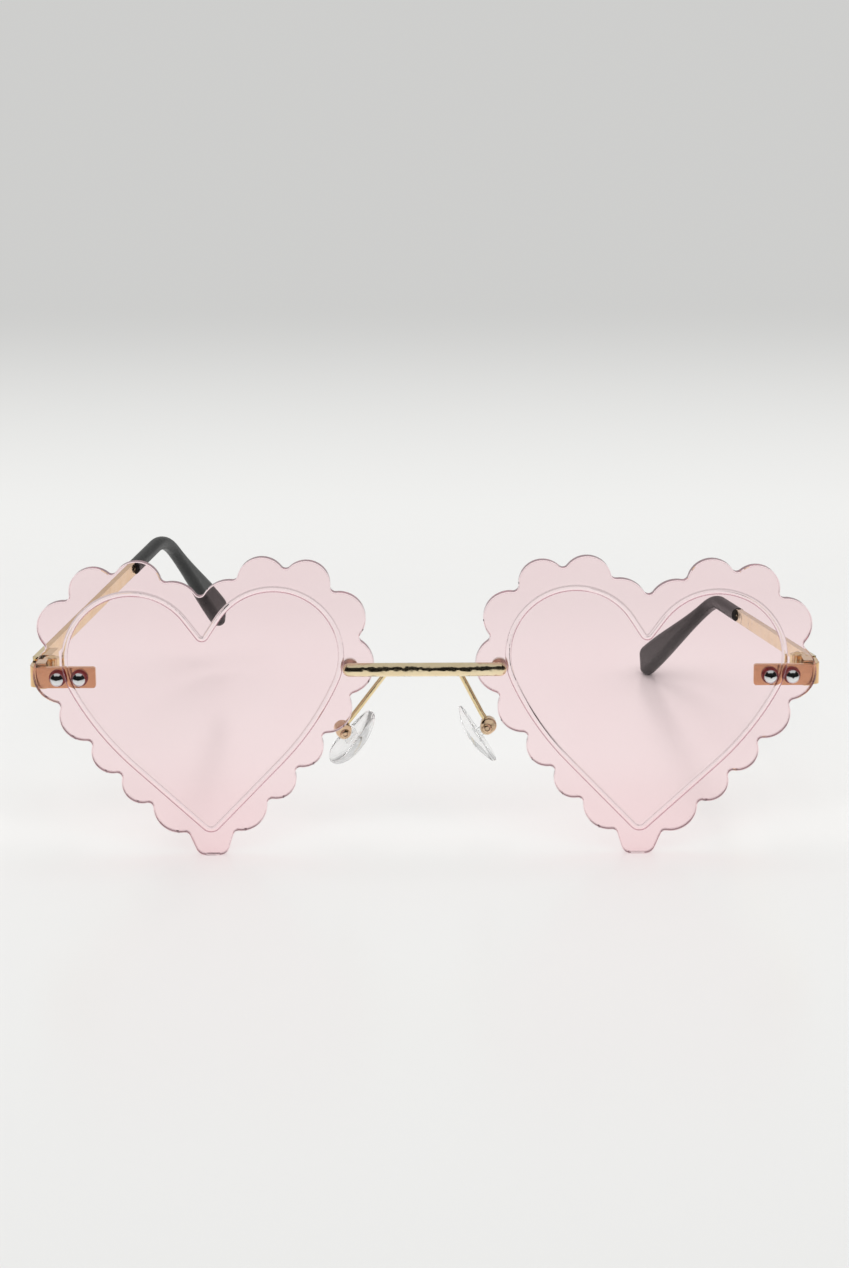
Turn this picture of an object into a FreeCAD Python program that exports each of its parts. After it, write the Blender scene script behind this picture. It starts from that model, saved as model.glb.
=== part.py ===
"""Heart-shaped rimless sunglasses, standing open on their lens tips, in millimetres and degrees.

X runs across the glasses, Y from the lens fronts back along the temples, Z up from the table.
Each side is drawn at +X, where X points outward, and the left one is its mirror image.
Last, the whole part is moved back so that the origin lies under the middle of its box.
"""
import FreeCAD
import Part
import math
import os
import re
from types import SimpleNamespace
from FreeCAD import Placement, Rotation, Vector

SIZES = {
    # lenses: flat plates that stand on a short flat foot
    "lens_width": 62.1,
    "lens_height": 55.4,
    "lens_thickness": 2.0,
    "lens_gap": 18.35,
    "lens_foot_width": 2.5,
    "lens_foot_radius": 1.9,
    "lens_lean_angle": 1.66,
    "lens_bevel": 0.15,
    "notch_radius": 0.95,
    # heart groove in the front face
    "groove_width": 1.05,
    "groove_depth": 0.45,
    # bridge bar in front of the lenses
    "bridge_diameter": 2.5,
    "bridge_overlap": 5.725,
    "bridge_flat_depth": 0.15,
    "stud_diameter": 1.3,
    "bridge_nut_diameter": 3.0,
    "bridge_nut_height": 1.0,
    # endpieces behind the lenses
    "endpiece_overhang": 0.95,
    "endpiece_height": 3.85,
    "endpiece_thickness": 1.1,
    "endpiece_reach": 12.15,
    "endpiece_bend_radius": 1.5,
    "endpiece_corner_radius": 0.5,
    # lens screws, bushes and nuts
    "lens_screw_spacing": 4.0,
    "lens_screw_setback": 5.25,
    "lens_screw_diameter": 1.2,
    "lens_screw_head_diameter": 2.45,
    "lens_screw_dome_height": 0.65,
    "lens_screw_overrun": 0.2,
    "bush_wall": 0.3,
    "flange_diameter": 3.15,
    "flange_thickness": 0.3,
    "lens_nut_diameter": 2.2,
    "lens_nut_height": 1.0,
    # hinges
    "hinge_setback": 9.0,
    "hinge_inset": 3.4,
    "hinge_height": 4.8,
    "knuckle_diameter": 2.8,
    "knuckle_gap": 0.1,
    "leaf_relief": 0.15,
    "front_leaf_thickness": 1.8,
    "temple_leaf_length": 5.0,
    "temple_leaf_height": 2.2,
    "temple_leaf_thickness": 1.7,
    "hinge_screw_diameter": 1.2,
    "hinge_screw_head_diameter": 2.0,
    "hinge_screw_head_height": 0.45,
    # temples
    "bar_height": 2.6,
    "bar_thickness": 1.2,
    "bar_lead": 1.0,
    "left_bar_rise": 1.3,
    "right_bar_rise": 0.7,
    "temple_gap": 0.25,
    "bend_reach": 100.8,
    "sleeve_lead": 27.5,
    "bend_radius": 27.0,
    "tip_length": 51.8,
    "core_diameter": 1.3,
    "core_stop": 6.0,
    "sleeve_diameter": 2.85,
    "paddle_width": 7.0,
    "paddle_thickness": 3.4,
    "left_temple_splay_angle": 8.3,
    "right_temple_splay_angle": 4.3,
    "left_temple_lift_angle": 3.35,
    "temple_lift_limit_angle": 20.0,
    "left_tip_drop_angle": 34.0,
    "right_tip_drop_angle": 23.7,
    "left_tip_lean_angle": 3.1,
    "right_tip_lean_angle": 9.7,
    # nose pads on their arms
    "left_pad_outset": 5.9,
    "right_pad_outset": 2.325,
    "left_pad_drop": 13.65,
    "right_pad_drop": 13.05,
    "pad_setback": 8.0,
    "left_pad_tilt_angle": 41.0,
    "right_pad_tilt_angle": 33.0,
    "left_pad_turn_angle": 21.0,
    "right_pad_turn_angle": -1.0,
    "pad_length": 12.2,
    "pad_width": 6.8,
    "pad_thickness": 2.2,
    "pad_face_radius": 12.0,
    "pad_top_radius": 2.4,
    "pad_edge_radius": 0.35,
    "pad_standoff": 1.75,
    "insert_length": 2.8,
    "insert_width": 2.0,
    "insert_thickness": 0.6,
    "tab_thickness": 0.8,
    "tab_radius": 0.75,
    "box_width": 2.2,
    "box_wall": 0.6,
    "box_screw_radius": 1.25,
    "box_arm_radius": 1.5,
    "box_spread": 0.6,
    "box_lean_angle": 60.0,
    "box_edge_radius": 0.3,
    "slot_gap": 0.25,
    "pad_screw_diameter": 0.8,
    "pad_screw_head_diameter": 1.8,
    "pad_screw_head_height": 0.45,
    "pad_screw_socket_width": 0.9,
    "arm_diameter": 1.0,
    "arm_root_inset": 3.975,
    "arm_bend_radius": 2.0,
    "arm_foot_length": 1.0,
    "arm_offset": 0.65,
    "arm_socket_depth": 0.6,
    # fits and cuts
    "fit_clearance": 0.03,
    "running_clearance": 0.05,
    "driver_slot_width": 0.3,
    "driver_slot_depth": 0.2,
    "cut_overrun": 0.5,
}

# Middles of the notch circles up one half of a lens: shares of its width, out from the axis,
# and of its height.
NOTCH_SHARES = (
    (0.079, 0.064),
    (0.184, 0.170),
    (0.271, 0.275),
    (0.354, 0.388),
    (0.441, 0.521),
    (0.475, 0.7225),
    (0.396, 0.893),
    (0.2535, 0.9765),
    (0.097, 0.944),
)
CLEFT_SHARE = 0.8945
# How far each lobe rises over the line between its two notch circles, as a share of that line.
LOBE_RISE_SHARES = (0.116, 0.153, 0.154, 0.157, 0.226, 0.239, 0.251, 0.221, 0)
# The heart groove, as shares of the lens width and of its height. Its cleft is as tight as the
# cutter that makes the groove allows.
GROOVE_WIDTH_SHARES = {
    "lobe_radius": 0.1968,
    "lobe_spacing": 0.4157,
    "flank_reach": 0.215,
    "point_radius": 0.0242,
}
GROOVE_HEIGHT_SHARES = {
    "lobe_level": 0.6748,
    "flank_level": 0.3155,
    "point_level": 0.0906,
    "cleft_level": 0.7364,
}
CLEFT_ROUND_SHARE = 1.4
# Levels of the bridge and of the endpieces, as shares of the lens height.
BRIDGE_LEVEL_SHARE = 0.6354
ENDPIECE_LEVEL_SHARE = 0.6011
# The tip behind its bend: where along the leg the paddle is full, where its end starts to round off,
# how far that rounding goes, how round its corners are for its thickness, and the sections of
# each stretch.
# The lift that lays a tip on the table is found by halving a range of angles, on points of the tip
# that follow it to a share of the fit clearance.
PADDLE_FULL_SHARE = 0.95
END_ROUND_SHARE = 0.92
END_CLOSE_SHARE = 0.8
CORNER_SHARE = 0.45
BEND_STATIONS = 8
LEG_STATIONS = 12
END_STATIONS = 6
LIFT_HALVINGS = 40
TRIAL_SHARE = 0.1

ACROSS = Vector(1, 0, 0)
BACK = Vector(0, 1, 0)
UP = Vector(0, 0, 1)

doc = FreeCAD.newDocument("HeartSunglasses")
sheet = doc.addObject("Spreadsheet::Sheet", "sizes")
for row, (alias, number) in enumerate(SIZES.items(), start=1):
    sheet.set(f"A{row}", alias)
    sheet.set(f"B{row}", str(number))
    sheet.setAlias(f"B{row}", alias)
doc.recompute()
v = SimpleNamespace(**{alias: sheet.get(alias) for alias in SIZES})
nodes = {}


# Document helpers

def formula(text):
    """Point every name in a formula at its cell."""
    return re.sub(r"[a-z_]+", lambda word: "sizes." + word.group(), text)


def made(kind, name, **bound):
    """Add an object and bind its properties to the sheet."""
    thing = doc.addObject(kind, name)
    for prop, text in bound.items():
        thing.setExpression(prop, formula(text))
    return thing


def block(name, length, width, height, corner, frame=Placement()):
    """Box whose three sizes are formulas, from one corner, in a frame."""
    box = made("Part::Box", name, Length=length, Width=width, Height=height)
    box.Placement = frame.multiply(Placement(corner, Rotation()))
    return box


def rod(name, diameter, height, foot, axis, frame=Placement()):
    """Cylinder from its foot along an axis, in a frame."""
    cylinder = made("Part::Cylinder", name, Radius=f"({diameter}) / 2", Height=height)
    cylinder.Placement = frame.multiply(Placement(foot, Rotation(UP, axis)))
    return cylinder


def joined(name, *pieces):
    fuse = doc.addObject("Part::MultiFuse", name)
    fuse.Shapes = list(pieces)
    fuse.Refine = True
    return fuse


def cut(name, base, *tools):
    """Base less its tools."""
    for number, tool in enumerate(tools):
        last = number == len(tools) - 1
        result = doc.addObject("Part::Cut", name if last else f"{name}_cut_{number}")
        result.Base = base
        result.Tool = tool
        base = result
    return base


def grouped(name, *pieces):
    group = doc.addObject("Part::Compound", name)
    group.Links = list(pieces)
    return group


def mirrored(name, source):
    image = doc.addObject("Part::Mirroring", name)
    image.Source = source
    image.Normal = ACROSS
    image.Base = Vector()
    return image


def keep(label, thing):
    """Enter a finished sub-part under its node name."""
    thing.Label = label
    nodes[label] = thing


def keep_pair(name, right):
    """Enter a sub-part and its mirror image."""
    keep(f"{name}_right", right)
    keep(f"{name}_left", mirrored(f"{name}_image", right))


def keep_side(name, side, thing):
    """Enter a sub-part drawn at +X with the values of one side."""
    if side == "left":
        thing = mirrored(f"{name}_image", thing)
    keep(f"{name}_{side}", thing)


def side_value(name, side):
    return getattr(v, f"{side}_{name}")


def origin_plane(body, role):
    return next(plane for plane in body.Origin.OriginFeatures if plane.Role == role)


def sketch_on(body, role, name, curves, offset=Placement()):
    """Sketch of the given curves on one of the body's origin planes."""
    sketch = body.newObject("Sketcher::SketchObject", name)
    sketch.AttachmentSupport = [(origin_plane(body, role), "")]
    sketch.MapMode = "FlatFace"
    sketch.AttachmentOffset = offset
    for curve in curves:
        sketch.addGeometry(curve, False)
    return sketch


def polygon(points):
    """Closed chain of straight lines."""
    return [Part.LineSegment(a, b) for a, b in zip(points, points[1:] + points[:1])]


def turned(name, curves):
    """Body turned about its own Z axis from a half section."""
    body = doc.addObject("PartDesign::Body", name)
    sketch = sketch_on(body, "XZ_Plane", f"{name}_section", curves)
    turn = body.newObject("PartDesign::Revolution", f"{name}_turn")
    turn.Profile = sketch
    turn.ReferenceAxis = (sketch, ["V_Axis"])
    return body


def through_pocket(body, name, sketch):
    """Cut a sketch right through the body, and make sure that it cuts."""
    doc.recompute()
    before = body.Shape.Volume
    pocket = body.newObject("PartDesign::Pocket", name)
    pocket.Profile = sketch
    pocket.Type = "ThroughAll"
    pocket.Midplane = True
    doc.recompute()
    if not body.Shape.Volume < before:
        raise RuntimeError(f"{name} cuts nothing")
    return pocket


def plate_faces(shape, through):
    """Names of a plain plate's two large faces, which lie square to the way through it."""
    return [
        f"Face{number}" for number, face in enumerate(shape.Faces, start=1)
        if abs(face.normalAt(0, 0).dot(through)) > math.cos(math.pi / 4)
    ]


def rounded_path(points, radius):
    """Straight runs between points, joined by tangent arcs."""
    edges = []
    start = points[0]
    for corner, after in zip(points[1:-1], points[2:]):
        into = (corner - start).normalize()
        out = (after - corner).normalize()
        setback = radius * math.tan(into.getAngle(out) / 2)
        first = corner - into * setback
        last = corner + out * setback
        middle_way = (out - into).normalize()
        reach = math.hypot(radius, setback) - radius
        edges.append(Part.LineSegment(start, first).toShape())
        edges.append(Part.Arc(first, corner + middle_way * reach, last).toShape())
        start = last
    edges.append(Part.LineSegment(start, points[-1]).toShape())
    return edges


def wire_along(name, diameter, edges):
    """Round wire swept along a path of edges."""
    path = doc.addObject("Part::Feature", f"{name}_path")
    path.Shape = Part.Wire(edges)
    first = edges[0]
    circle = made("Part::Circle", f"{name}_section", Radius=f"({diameter}) / 2")
    heading = first.tangentAt(first.FirstParameter)
    circle.Placement = Placement(first.Vertexes[0].Point, Rotation(UP, heading))
    sweep = doc.addObject("Part::Sweep", name)
    sweep.Sections = [circle]
    sweep.Spine = (path, [f"Edge{number}" for number in range(1, len(edges) + 1)])
    sweep.Solid = True
    return sweep


# Lens outline

def leaned(point):
    """Turn a point of the upright lens about its foot, so that the top leans outward."""
    lean = math.radians(v.lens_lean_angle)
    return Vector(
        point.x * math.cos(lean) + point.y * math.sin(lean),
        point.y * math.cos(lean) - point.x * math.sin(lean),
        0,
    )


def lens_notches():
    """Middles of the notch circles, from the foot up the outer half and down the inner one."""
    outer = [Vector(out * v.lens_width, up * v.lens_height, 0) for out, up in NOTCH_SHARES]
    cleft = Vector(0, CLEFT_SHARE * v.lens_height, 0)
    inner = [flipped(point) for point in reversed(outer)]
    return [leaned(point) for point in outer + [cleft] + inner]


def lobe(start, end, rise_share):
    """Circle through the lobe's crown that touches the notch circles at both ends."""
    chord = end - start
    rise = rise_share * chord.Length
    outward = Vector(chord.y, -chord.x, 0).normalize()
    crown = rise + v.notch_radius
    level = (crown ** 2 - (chord.Length / 2) ** 2) / (2 * crown)
    middle = (start + end) * 0.5 + outward * level
    radius = rise - level
    return SimpleNamespace(middle=middle, radius=radius, crown=middle + outward * radius, end=end)


def flipped(point):
    """Mirror image of a point of a drawing across its upright axis."""
    return Vector(-point.x, point.y, 0)


def crossing_tangent(left, left_radius, right, right_radius):
    """Ends of the line that touches one circle on its left and then another on its right."""
    way = right - left
    turn = math.asin((left_radius + right_radius) / way.Length)
    way = Rotation(UP, math.degrees(turn)).multVec(way.normalize())
    side = Vector(-way.y, way.x, 0)
    return left - side * left_radius, right + side * right_radius


def foot_side(notch):
    """Places up the outer side of the foot: its end, its rounded corner and its straight flank."""
    end = Vector(v.lens_foot_width / 2, 0, 0)
    middle = Vector(end.x, v.lens_foot_radius, 0)
    flank_start, flank_end = crossing_tangent(middle, v.lens_foot_radius, notch, v.notch_radius)
    crown = middle + ((end + flank_start) * 0.5 - middle).normalize() * v.lens_foot_radius
    return [end, crown, flank_start, flank_end]


def lens_outline():
    """Foot, lobes and rounded notches, once round."""
    notches = lens_notches()
    rises = LOBE_RISE_SHARES + LOBE_RISE_SHARES[::-1]
    lobes = [lobe(a, b, rise) for a, b, rise in zip(notches, notches[1:], rises)]
    first_end, first_crown, first_flank, first_notch = foot_side(notches[0])
    last_end, last_crown, last_flank, last_notch = map(flipped, foot_side(flipped(notches[-1])))
    curves = [
        Part.LineSegment(last_end, first_end),
        Part.Arc(first_end, first_crown, first_flank),
        Part.LineSegment(first_flank, first_notch),
    ]
    into = first_notch
    for notch, after in zip(notches, lobes + [None]):
        out = after.middle + (notch - after.middle).normalize() * after.radius if after else last_notch
        floor = ((into - notch) + (out - notch)).normalize() * v.notch_radius
        curves.append(Part.Arc(into, notch + floor, out))
        if after:
            into = after.middle + (after.end - after.middle).normalize() * after.radius
            curves.append(Part.Arc(out, after.crown, into))
    curves.append(Part.LineSegment(last_notch, last_flank))
    curves.append(Part.Arc(last_flank, last_crown, last_end))
    return curves


# Places shared by several pieces

lens_box = Part.Wire([curve.toShape() for curve in lens_outline()]).BoundBox
lens_foot = v.lens_gap / 2 - lens_box.XMin
cutter_radius = ((v.groove_width / 2) ** 2 + v.groove_depth ** 2) / (2 * v.groove_depth)
groove = SimpleNamespace(
    **{name: share * v.lens_width for name, share in GROOVE_WIDTH_SHARES.items()},
    **{name: share * v.lens_height for name, share in GROOVE_HEIGHT_SHARES.items()},
    cleft_radius=CLEFT_ROUND_SHARE * cutter_radius,
)
bridge_level = BRIDGE_LEVEL_SHARE * v.lens_height
bridge_end = v.lens_gap / 2 + v.bridge_overlap
endpiece_level = ENDPIECE_LEVEL_SHARE * v.lens_height
endpiece_outer = lens_foot + lens_box.XMax + v.endpiece_overhang
plate_front = v.lens_thickness + v.fit_clearance + v.flange_thickness
plate_back = plate_front + v.endpiece_thickness
screw_places = (
    endpiece_outer - v.lens_screw_setback,
    endpiece_outer - v.lens_screw_setback - v.lens_screw_spacing,
)
stud_place = bridge_end - v.bridge_diameter / 2
hinge_foot = Vector(endpiece_outer - v.hinge_inset, v.hinge_setback, endpiece_level)
knuckle_radius = v.knuckle_diameter / 2
knuckle_height = (v.hinge_height - 2 * v.knuckle_gap) / 3
bush_radius = v.lens_screw_diameter / 2 + v.fit_clearance + v.bush_wall


# Lenses

def groove_outline():
    """Upright heart: a rounded point, straight flanks, long side arcs, two lobes and a tight cleft."""
    point = Vector(0, groove.point_level, 0)
    point_middle = point + Vector(0, groove.point_radius, 0)
    flank_start, flank_end = crossing_tangent(
        point_middle, groove.point_radius, Vector(groove.flank_reach, groove.flank_level, 0), 0,
    )
    point_half = ((point + flank_start) * 0.5 - point_middle).normalize() * groove.point_radius
    lobe_middle = Vector(groove.lobe_spacing / 2, groove.lobe_level, 0)
    lobe_crown = lobe_middle + Vector(0, groove.lobe_radius, 0)
    # the side arc leaves the flank smoothly and holds the lobe circle inside it
    way = (flank_end - flank_start).normalize()
    inward = Vector(-way.y, way.x, 0)
    reach = flank_end - lobe_middle
    overlap = reach.dot(inward) + groove.lobe_radius
    side_radius = (groove.lobe_radius ** 2 - reach.Length ** 2) / (2 * overlap)
    side_middle = flank_end + inward * side_radius
    side_end = side_middle + (lobe_middle - side_middle).normalize() * side_radius
    side_half = ((flank_end + side_end) * 0.5 - side_middle).normalize() * side_radius
    cleft = Vector(0, groove.cleft_level, 0)
    cleft_middle = cleft + Vector(0, groove.cleft_radius, 0)
    lobe_end, cleft_start = crossing_tangent(
        lobe_middle, groove.lobe_radius, cleft_middle, groove.cleft_radius,
    )
    right = [
        (point, point_middle + point_half, flank_start),
        (flank_start, flank_end),
        (flank_end, side_middle + side_half, side_end),
        (side_end, lobe_crown, lobe_end),
        (lobe_end, cleft_start),
    ]
    left = [tuple(map(flipped, reversed(places))) for places in reversed(right)]
    stretches = right + [(cleft_start, cleft, flipped(cleft_start))] + left
    return [Part.LineSegment(*places) if len(places) == 2 else Part.Arc(*places) for places in stretches]


def add_lens():
    body = doc.addObject("PartDesign::Body", "lens")
    pad = body.newObject("PartDesign::Pad", "lens_plate")
    pad.Profile = sketch_on(body, "XZ_Plane", "lens_outline", lens_outline())
    pad.setExpression("Length", formula("lens_thickness"))
    pad.Reversed = True
    doc.recompute()
    bevel = body.newObject("PartDesign::Chamfer", "lens_edges")
    bevel.Base = (pad, plate_faces(pad.Shape, BACK))
    bevel.setExpression("Size", formula("lens_bevel"))
    holes = [
        Part.Circle(Vector(place - lens_foot, endpiece_level, 0), UP, bush_radius + v.fit_clearance)
        for place in screw_places
    ]
    stud_hole = v.stud_diameter / 2 + v.fit_clearance
    holes.append(Part.Circle(Vector(stud_place - lens_foot, bridge_level, 0), UP, stud_hole))
    through_pocket(body, "lens_holes", sketch_on(body, "XZ_Plane", "lens_hole_places", holes))
    cutter_rise = cutter_radius - v.groove_depth
    path = sketch_on(
        body, "XZ_Plane", "groove_path", groove_outline(),
        Placement(Vector(0, 0, cutter_rise), Rotation(UP, -v.lens_lean_angle)),
    )
    cutter = sketch_on(
        body, "YZ_Plane", "groove_cutter",
        [Part.Circle(Vector(-cutter_rise, groove.point_level, 0), UP, cutter_radius)],
        Placement(Vector(), Rotation(ACROSS, v.lens_lean_angle)),
    )
    doc.recompute()
    before = body.Shape.Volume
    sweep = body.newObject("PartDesign::SubtractivePipe", "lens_groove")
    sweep.Profile = cutter
    sweep.Spine = (path, [f"Edge{number}" for number in range(1, len(path.Shape.Edges) + 1)])
    body.Placement = Placement(Vector(lens_foot, 0, 0), Rotation())
    doc.recompute()
    if not body.Shape.Volume < before:
        raise RuntimeError("the groove cuts nothing")
    keep_pair("lens", body)


# Bridge

def add_bridge():
    radius = v.bridge_diameter / 2
    axis_setback = v.bridge_flat_depth - radius
    half_straight = bridge_end - radius
    foot = Vector(-half_straight, axis_setback, bridge_level)
    straight = "lens_gap + 2 * bridge_overlap - bridge_diameter"
    pieces = [rod("bridge_rod", "bridge_diameter", straight, foot, ACROSS)]
    for end in (-half_straight, half_straight):
        ball = made("Part::Sphere", "bridge_end", Radius="bridge_diameter / 2")
        ball.Placement = Placement(Vector(end, axis_setback, bridge_level), Rotation())
        pieces.append(ball)
    seat = block(
        "bridge_seat", "lens_gap + 2 * bridge_overlap", "bridge_diameter", "bridge_diameter",
        Vector(-bridge_end, -v.fit_clearance, bridge_level - radius),
    )
    bar = cut("bridge_seated", joined("bridge_round", *pieces), seat)
    studs = [
        rod(
            "bridge_stud", "stud_diameter",
            "bridge_diameter / 2 + lens_thickness + bridge_nut_height",
            Vector(place, -radius, bridge_level), BACK,
        )
        for place in (-stud_place, stud_place)
    ]
    keep("bridge_bar", joined("bridge_bar", bar, *studs))


def ring_section(bore, outer, height):
    """Half section of a plain ring that stands on its own origin."""
    corners = ((bore, 0), (outer, 0), (outer, height), (bore, height))
    return polygon([Vector(*corner, 0) for corner in corners])


def add_bridge_nuts():
    bore = v.stud_diameter / 2 + v.fit_clearance
    nut = turned("bridge_nut", ring_section(bore, v.bridge_nut_diameter / 2, v.bridge_nut_height))
    seat = Vector(stud_place, v.lens_thickness + v.fit_clearance, bridge_level)
    nut.Placement = Placement(seat, Rotation(UP, BACK))
    keep_pair("bridge_nut", nut)


# Endpieces and lens screws

def add_endpieces():
    """Strip bent once: the plate lies behind the lens, the leg runs back to the hinge."""
    body = doc.addObject("PartDesign::Body", "endpiece")
    outer = endpiece_outer
    inner = outer - v.endpiece_thickness
    front = plate_front
    rear = v.hinge_setback - v.bar_lead - v.temple_gap
    start = outer - v.endpiece_reach
    bend = v.endpiece_bend_radius
    inside = bend - v.endpiece_thickness
    centre = Vector(outer - bend, front + bend, 0)
    halfway = Vector(1, -1, 0).normalize()
    start_back = Vector(start, plate_back, 0)
    start_front = Vector(start, front, 0)
    bend_front = Vector(centre.x, front, 0)
    bend_outer = Vector(outer, centre.y, 0)
    leg_outer = Vector(outer, rear, 0)
    leg_inner = Vector(inner, rear, 0)
    bend_inner = Vector(inner, centre.y, 0)
    bend_back = Vector(centre.x, plate_back, 0)
    curves = [
        Part.LineSegment(start_back, start_front),
        Part.LineSegment(start_front, bend_front),
        Part.Arc(bend_front, centre + halfway * bend, bend_outer),
        Part.LineSegment(bend_outer, leg_outer),
        Part.LineSegment(leg_outer, leg_inner),
        Part.LineSegment(leg_inner, bend_inner),
        Part.Arc(bend_inner, centre + halfway * inside, bend_back),
        Part.LineSegment(bend_back, start_back),
    ]
    lowest = endpiece_level - v.endpiece_height / 2
    strip = body.newObject("PartDesign::Pad", "endpiece_strip")
    floor = Placement(Vector(0, 0, lowest), Rotation())
    strip.Profile = sketch_on(body, "XY_Plane", "endpiece_bend", curves, floor)
    strip.setExpression("Length", formula("endpiece_height"))
    doc.recompute()
    ends = [
        f"Edge{number}" for number, edge in enumerate(strip.Shape.Edges, start=1)
        if edge.BoundBox.XMax - start < v.fit_clearance
        and edge.BoundBox.YLength > v.endpiece_thickness / 2
    ]
    corner = body.newObject("PartDesign::Fillet", "endpiece_corners")
    corner.Base = (strip, ends)
    corner.setExpression("Radius", formula("endpiece_corner_radius"))
    hole = v.lens_screw_diameter / 2 + v.fit_clearance
    holes = [Part.Circle(Vector(place, endpiece_level, 0), UP, hole) for place in screw_places]
    through_pocket(body, "endpiece_holes", sketch_on(body, "XZ_Plane", "endpiece_hole_places", holes))
    keep_pair("endpiece", body)


def dome_section(head, dome, shank, length):
    """Half section of a domed screw, the underside of its head at the origin, its shank below."""
    ball = (head ** 2 + dome ** 2) / (2 * dome)
    middle = Vector(0, dome - ball, 0)
    halfway = (Vector(head, 0, 0) + Vector(0, dome, 0)) * 0.5 - middle
    shoulder = middle + halfway.normalize() * ball
    places = ((0, dome), (0, -length), (shank, -length), (shank, 0), (head, 0))
    corners = [Vector(*place, 0) for place in places]
    lines = [Part.LineSegment(a, b) for a, b in zip(corners, corners[1:])]
    return lines + [Part.Arc(corners[-1], shoulder, corners[0])]


def add_lens_fasteners():
    """Screws from the front, flanged bushes in the lens and nuts behind the endpiece."""
    shank = v.lens_screw_diameter / 2
    length = plate_back + v.lens_nut_height + v.lens_screw_overrun
    bore = shank + v.fit_clearance
    screw_curves = dome_section(v.lens_screw_head_diameter / 2, v.lens_screw_dome_height, shank, length)
    flange = v.flange_diameter / 2
    flange_front = v.lens_thickness + v.fit_clearance
    bush_corners = (
        (bore, 0), (bush_radius, 0), (bush_radius, flange_front),
        (flange, flange_front), (flange, plate_front), (bore, plate_front),
    )
    bush_curves = polygon([Vector(*corner, 0) for corner in bush_corners])
    nut_curves = ring_section(bore, v.lens_nut_diameter / 2, v.lens_nut_height)
    for name, curves, depth, facing in (
        ("lens_screws", screw_curves, -v.fit_clearance, -BACK),
        ("lens_bushes", bush_curves, 0, BACK),
        ("lens_nuts", nut_curves, plate_back, BACK),
    ):
        pieces = []
        for place in screw_places:
            piece = turned(f"{name}_piece", curves)
            piece.Placement = Placement(Vector(place, depth, endpiece_level), Rotation(UP, facing))
            pieces.append(piece)
        keep_pair(name, grouped(name, *pieces))


# Hinges

def knuckle(name, level, frame):
    """One ring of the hinge, before its bore, from a level over the hinge's middle."""
    height = "(hinge_height - 2 * knuckle_gap) / 3"
    return rod(name, "knuckle_diameter", height, Vector(0, 0, level), UP, frame)


def knuckle_web(name, corner, frame):
    """Bridge of metal from a ring to its leaf."""
    return block(
        name, "knuckle_diameter / 2 - hinge_inset + endpiece_thickness + front_leaf_thickness",
        "knuckle_diameter / 2 + 2 * leaf_relief", "(hinge_height - 2 * knuckle_gap) / 3", corner, frame,
    )


def hinge_bore(name, frame):
    return rod(
        name, "hinge_screw_diameter + 2 * running_clearance", "hinge_height + 2 * cut_overrun",
        Vector(0, 0, -v.hinge_height / 2 - v.cut_overrun), UP, frame,
    )


def add_front_leaves():
    """Leaf on the leg's inner face, with the upper and lower rings."""
    frame = Placement(hinge_foot, Rotation())
    half_height = v.hinge_height / 2
    inner = v.hinge_inset - v.endpiece_thickness - v.front_leaf_thickness
    rear = -knuckle_radius - v.leaf_relief
    bend_end = plate_front + v.endpiece_bend_radius
    leaf = block(
        "front_leaf_plate", "front_leaf_thickness",
        "hinge_setback - knuckle_diameter / 2 - leaf_relief"
        " - lens_thickness - fit_clearance - flange_thickness - endpiece_bend_radius",
        "hinge_height", Vector(inner, bend_end - v.hinge_setback, -half_height), frame,
    )
    pieces = [leaf]
    for level in (-half_height, half_height - knuckle_height):
        pieces.append(knuckle("front_ring", level, frame))
        pieces.append(knuckle_web("front_web", Vector(inner, rear - v.leaf_relief, level), frame))
    whole = joined("front_leaf_whole", *pieces)
    leaf = cut("hinge_front_leaf", whole, hinge_bore("front_leaf_bore", frame))
    keep_pair("hinge_front_leaf", leaf)


def add_hinge_screws():
    """Pin of the hinge: slotted head on the upper ring, shank down through all three."""
    head = v.hinge_screw_head_diameter / 2
    curves = dome_section(head, v.hinge_screw_head_height, v.hinge_screw_diameter / 2, v.hinge_height)
    pin = turned("hinge_pin", curves)
    top = hinge_foot + UP * (v.hinge_height / 2)
    pin.Placement = Placement(top, Rotation())
    slot = block(
        "hinge_pin_slot", "hinge_screw_head_diameter", "driver_slot_width", "driver_slot_depth",
        top + Vector(-head, -v.driver_slot_width / 2, v.hinge_screw_head_height - v.driver_slot_depth),
    )
    keep_pair("hinge_screw", cut("hinge_screw", pin, slot))


# Temples

def temple_points(side, frame):
    """Middle line of a placed temple: sleeve start, bend corner and tip end."""
    middle = v.hinge_inset - v.bar_thickness / 2
    drop = math.radians(side_value("tip_drop_angle", side))
    lean = math.radians(side_value("tip_lean_angle", side))
    leg = Vector(-math.sin(lean), math.cos(lean) * math.cos(drop), -math.cos(lean) * math.sin(drop))
    corner = Vector(middle, v.bend_reach, side_value("bar_rise", side))
    places = (corner - BACK * v.sleeve_lead, corner, corner + leg * v.tip_length)
    return [frame.multVec(place) for place in places]


def temple_edges(side, frame, ahead, short):
    """Line, bend and leg, from a place ahead of the sleeve to a place short of the tip's end."""
    start, corner, end = temple_points(side, frame)
    line = (corner - start).normalize()
    leg = (end - corner).normalize()
    return rounded_path([start - line * ahead, corner, end - leg * short], v.bend_radius)


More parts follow.
